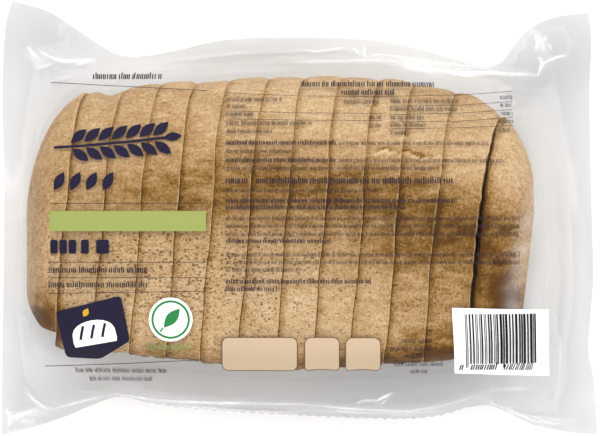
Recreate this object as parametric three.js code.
// A sliced loaf sealed in clear film, lying on one of its flat sides with the printed face up.
// Millimetres, +Z up. The origin is the middle of the pack's footprint, on the surface that it lies on.
// +X runs along the loaf, from the tight end to the loose one, and +Y from the loaf's base to its dome.
//
// The film is shut on all sides, so the pack is one solid with the film's outer form. The outline comes
// from four edges: two crimped end seals, a folded edge above the dome, and a fin seal below the base.
// Between them the film is drawn tight: it settles over the loaf like a membrane over an obstacle.
import * as THREE from "three";

const { clamp, lerp, smoothstep } = THREE.MathUtils;

// The pack
const PACK_LENGTH = 210;
const PACK_WIDTH = 152.6;
const SEAL_BAND = 9; // crimped width of each end seal
const SEAL_DROOP = 2.5; // how far a seal's outer edge hangs below its inner edge
const FIN_BAND = 3.2; // width of the fin seal along the base
const WELD = 0.8; // thickness where the two films meet
const FILM_SLACK = 0.4; // film and air over the loaf
const FILM_SLOPE = 2.2; // fall for each mm outwards where the film drops from the loaf's edge

// The loaf, between the outer faces of its two heels
const LOAF_LEFT = -94;
const LOAF_RIGHT = 81;
const LOAF_THICK = 64; // from the side that it lies on to the side that shows
const SIDE_TAPER = 2.5; // how much thinner it is at its base than at the rim of its baking tin
const SHOULDER_Y = 6; // where the straight side ends and the dome begins
const BASE_RADIUS = 9; // rounding between base and side

// The heels round off over these lengths, and each edge draws in by these amounts at the tip
const HEEL_LENGTH = { left: 19, right: 17 };
const HEEL_INSET = {
  left: { dome: 46, base: 14, side: 13 },
  right: { dome: 26, base: 16, side: 12 },
};

// Heights of the pack's edges above the surface that it lies on
const SEAL_HEIGHT = { left: 31, right: 23 };
const CORNER_HEIGHT = { topLeft: 13, topRight: 15, bottomLeft: 6, bottomRight: 7 };
const DOME_LIP_HEIGHT = 31;
const FIN_HEIGHT = 24;
const CORNER_REACH = 60; // how far from a seal its corners pull the long edges down

// The mesh: stations along the pack and across it
const COLUMNS = 60;
const ROWS = 28;
const SETTLING_STEPS = 3000;

// How closely the loaf's skin is sampled under the film
const SKIN_STEP = 1.25;
const SKIN_ROWS = 40;

// A smooth line through [x, y] points with rising x, as a function of x
function through(points) {
  const slope = points.map((_, i) => {
    const [x0, y0] = points[Math.max(i - 1, 0)];
    const [x1, y1] = points[Math.min(i + 1, points.length - 1)];
    return (y1 - y0) / (x1 - x0);
  });
  return (x) => {
    const last = points.length - 1;
    const held = clamp(x, points[0][0], points[last][0]);
    const i = clamp(points.findIndex(([px]) => px > held) - 1, 0, last - 1);
    const from = held >= points[last][0] ? last - 1 : i;
    const [x0, y0] = points[from];
    const [x1, y1] = points[from + 1];
    const run = x1 - x0;
    const s = (held - x0) / run;
    const s2 = s * s;
    const s3 = s2 * s;
    return (
      y0 * (2 * s3 - 3 * s2 + 1) +
      y1 * (3 * s2 - 2 * s3) +
      run * (slope[from] * (s3 - 2 * s2 + s) + slope[from + 1] * (s3 - s2))
    );
  };
}

const HALF_LENGTH = PACK_LENGTH / 2;
const HALF_WIDTH = PACK_WIDTH / 2;

// The folded edge beyond the dome: wide at the seals, drawn in beside the heels, full over the crest
const domeEdge = through([
  [-101, HALF_WIDTH],
  [-87.5, 72.1],
  [-75.3, 64],
  [-64.8, 57.5],
  [-57.8, 56.1],
  [-45.5, 57.7],
  [-26, 62],
  [0, 62.9],
  [18, 62.5],
  [35, 60.5],
  [52.5, 55.6],
  [64.8, 52.6],
  [70.5, 54.8],
  [77, 63.2],
  [85.8, 69.2],
  [101, 72.1],
]);

// The outer edge of the fin seal, below the loaf's base
const finEdge = through([
  [-HALF_LENGTH, -HALF_WIDTH],
  [-92.8, -73.2],
  [-84, -70.3],
  [-73.5, -65.8],
  [-65.8, -62.8],
  [-60, -62.6],
  [-53, -64.6],
  [-35, -66.8],
  [0, -69],
  [35, -70.2],
  [49, -69],
  [61, -65.7],
  [67, -65.6],
  [73.5, -68.6],
  [82.3, -72.6],
  [94.5, -75.2],
  [HALF_LENGTH, -HALF_WIDTH],
]);

// The outer edges of the two end seals, as x for each share of the way from fin to dome edge
const leftEdge = through([
  [0, -HALF_LENGTH],
  [0.09, -104.5],
  [0.32, -103.3],
  [0.54, -102.8],
  [0.76, -103.7],
  [0.88, -103.8],
  [0.95, -102.9],
  [1, -101],
]);
const rightEdge = through([
  [0, HALF_LENGTH],
  [0.13, 103],
  [0.2, 100.9],
  [0.26, 101.3],
  [0.37, 102.4],
  [0.5, 101.9],
  [0.7, 101.3],
  [0.83, 101.3],
  [0.94, 102],
  [1, 101],
]);

// The loaf's crest and base lines, as y for each x
const crestLine = through([
  [-95, 44],
  [-78, 44],
  [-60, 45.5],
  [-30, 48],
  [0, 49.5],
  [30, 48.5],
  [53, 44.5],
  [66, 38],
  [81.5, 33],
]);
const baseLine = through([
  [-95, -38.5],
  [-84, -43],
  [-60, -47.5],
  [-35, -50.5],
  [0, -53],
  [35, -51.5],
  [60, -49],
  [81.5, -46],
]);

// How far a heel has rounded off at x: 0 where the loaf is full, 1 at its tip
function heelRounding(x, side) {
  const inward = side === "left" ? x - LOAF_LEFT : LOAF_RIGHT - x;
  const s = clamp(1 - inward / HEEL_LENGTH[side], 0, 1);
  return 1 - Math.sqrt(1 - s * s);
}

// The loaf's lowest and highest y at x, with its heels rounded off in plan
function loafSpan(x) {
  const span = { base: baseLine(x), crest: crestLine(x) };
  for (const side of ["left", "right"]) {
    span.crest -= HEEL_INSET[side].dome * heelRounding(x, side);
    span.base += HEEL_INSET[side].base * heelRounding(x, side);
  }
  return span;
}

// The heights of the loaf's upper and lower skin at a point of its plan
function loafSkin(x, y) {
  const { base, crest } = loafSpan(x);
  const shoulder = Math.min(SHOULDER_Y, (crest + base) / 2);
  const up = clamp((y - shoulder) / (crest - shoulder), 0, 1);
  const corner = clamp(BASE_RADIUS - (y - base), 0, BASE_RADIUS);
  let drop = (LOAF_THICK / 2) * (1 - Math.sqrt(1 - up * up));
  drop += BASE_RADIUS - Math.sqrt(BASE_RADIUS ** 2 - corner ** 2);
  for (const side of ["left", "right"]) drop += HEEL_INSET[side].side * heelRounding(x, side);
  const taper = SIDE_TAPER * clamp((shoulder - y) / (shoulder - base), 0, 1);
  return { x, y, upper: LOAF_THICK + FILM_SLACK - drop - taper, lower: drop };
}

// The loaf's skin as points, each row of them running from its base to its crest
function sampleSkin() {
  const samples = [];
  const stations = Math.round((LOAF_RIGHT - LOAF_LEFT) / SKIN_STEP);
  for (let i = 0; i <= stations; i++) {
    const x = lerp(LOAF_LEFT, LOAF_RIGHT, i / stations);
    const { base, crest } = loafSpan(x);
    for (let j = 0; j <= SKIN_ROWS; j++) {
      samples.push(loafSkin(x, lerp(base, crest, j / SKIN_ROWS)));
    }
  }
  return samples;
}

// What the film can't pass at a point: the skin itself, and beside it the steepest fall from it
function filmLimits(x, y, skin) {
  const { base, crest } = loafSpan(x);
  const onLoaf = x > LOAF_LEFT && x < LOAF_RIGHT && y > base && y < crest;
  const limits = onLoaf ? loafSkin(x, y) : { upper: -Infinity, lower: Infinity };
  for (const point of skin) {
    const fall = FILM_SLOPE * Math.hypot(x - point.x, y - point.y);
    limits.upper = Math.max(limits.upper, point.upper - fall);
    limits.lower = Math.min(limits.lower, point.lower + fall);
  }
  return limits;
}

// Height of the pack's flat edges and bands at a point of the outline
function edgeHeight(x, across) {
  const fromLeft = x + HALF_LENGTH;
  const fromRight = HALF_LENGTH - x;
  const belly = 4 * across * (1 - across);
  const left = lerp(CORNER_HEIGHT.bottomLeft, CORNER_HEIGHT.topLeft, across);
  const right = lerp(CORNER_HEIGHT.bottomRight, CORNER_HEIGHT.topRight, across);
  const seal = {
    left: lerp(left, SEAL_HEIGHT.left, belly),
    right: lerp(right, SEAL_HEIGHT.right, belly),
  };
  const lip = lerp(FIN_HEIGHT, DOME_LIP_HEIGHT, across);
  const near = fromLeft < fromRight ? "left" : "right";
  const distance = Math.min(fromLeft, fromRight);
  const droop = SEAL_DROOP * clamp(1 - distance / SEAL_BAND, 0, 1);
  return lerp(seal[near], lip, smoothstep(distance, SEAL_BAND, CORNER_REACH)) - droop;
}

// Stations along the pack: the seal bands get their own, and the rest are even
function stationsAlong() {
  const inner = PACK_LENGTH - 2 * SEAL_BAND;
  const stations = [0, SEAL_BAND / 2];
  for (let i = 0; i <= COLUMNS; i++) stations.push(SEAL_BAND + (inner * i) / COLUMNS);
  stations.push(PACK_LENGTH - SEAL_BAND / 2, PACK_LENGTH);
  return stations.map((s) => s / PACK_LENGTH);
}

// Stations across the pack: the fin band gets its own, and the rest are even
function stationsAcross() {
  const fin = FIN_BAND / PACK_WIDTH;
  const stations = [0];
  for (let j = 0; j <= ROWS; j++) stations.push(lerp(fin, 1, j / ROWS));
  return stations;
}

// The grid's points in plan, with what holds the film at each
function layOutGrid() {
  const finShare = FIN_BAND / PACK_WIDTH;
  const sealShare = SEAL_BAND / PACK_LENGTH;
  const close = 1e-6;
  const skin = sampleSkin();
  return stationsAlong().map((along) =>
    stationsAcross().map((across) => {
      const x = lerp(leftEdge(across), rightEdge(across), along);
      const y = lerp(finEdge(x), domeEdge(x), across);
      const inSeal = along < sealShare + close || along > 1 - sealShare - close;
      const inFin = across < finShare + close;
      const { upper, lower } = filmLimits(x, y, skin);
      return {
        x,
        y,
        held: inSeal || inFin || across > 1 - close,
        edge: edgeHeight(x, across),
        upper,
        lower,
      };
    }),
  );
}

// Draws a film tight between its held edges, never through the loaf or the surface below
function settle(grid, startAt, limit) {
  const height = grid.map((column) =>
    column.map((p) => (p.held ? startAt(p) : limit(p, startAt(p)))),
  );
  for (let step = 0; step < SETTLING_STEPS; step++) {
    for (let i = 1; i < grid.length - 1; i++) {
      for (let j = 1; j < grid[i].length - 1; j++) {
        if (grid[i][j].held) continue;
        const stepX = (grid[i + 1][j].x - grid[i - 1][j].x) / 2;
        const stepY = (grid[i][j + 1].y - grid[i][j - 1].y) / 2;
        const pullX = (height[i - 1][j] + height[i + 1][j]) / stepX ** 2;
        const pullY = (height[i][j - 1] + height[i][j + 1]) / stepY ** 2;
        const rest = (pullX + pullY) / (2 / stepX ** 2 + 2 / stepY ** 2);
        height[i][j] = limit(grid[i][j], rest);
      }
    }
  }
  return height;
}

// A closed solid between an upper and a lower sheet on the same grid
function solidBetween(grid, upper, lower) {
  const columns = grid.length;
  const rows = grid[0].length;
  const position = [];
  for (const sheet of [upper, lower]) {
    grid.forEach((column, i) =>
      column.forEach((p, j) => position.push(p.x, p.y, sheet[i][j])),
    );
  }
  const top = (i, j) => i * rows + j;
  const under = (i, j) => columns * rows + i * rows + j;
  const index = [];
  const quad = (a, b, c, d) => index.push(a, b, c, a, c, d);
  for (let i = 0; i < columns - 1; i++) {
    for (let j = 0; j < rows - 1; j++) {
      quad(top(i, j), top(i + 1, j), top(i + 1, j + 1), top(i, j + 1));
      quad(under(i, j), under(i, j + 1), under(i + 1, j + 1), under(i + 1, j));
    }
    quad(under(i, 0), under(i + 1, 0), top(i + 1, 0), top(i, 0));
    quad(top(i, rows - 1), top(i + 1, rows - 1), under(i + 1, rows - 1), under(i, rows - 1));
  }
  for (let j = 0; j < rows - 1; j++) {
    quad(top(0, j), top(0, j + 1), under(0, j + 1), under(0, j));
    quad(under(columns - 1, j), under(columns - 1, j + 1), top(columns - 1, j + 1), top(columns - 1, j));
  }
  const geometry = new THREE.BufferGeometry();
  geometry.setAttribute("position", new THREE.Float32BufferAttribute(position, 3));
  geometry.setIndex(index);
  geometry.computeVertexNormals();
  return geometry;
}

// The sealed pack: an upper film over the loaf and a lower film under it
function makeBreadBag() {
  const grid = layOutGrid();
  const upper = settle(
    grid,
    (p) => p.edge + WELD / 2,
    (p, z) => Math.max(z, p.upper),
  );
  const lower = settle(
    grid,
    (p) => p.edge - WELD / 2,
    (p, z) => clamp(z, 0, p.lower),
  );
  const film = new THREE.MeshStandardMaterial({
    color: 0xe4e2de,
    roughness: 0.15,
    metalness: 0,
  });
  const bag = new THREE.Mesh(solidBetween(grid, upper, lower), film);
  bag.name = "bread_bag";
  return bag;
}

const pack = new THREE.Group();
pack.add(makeBreadBag());

export default pack;
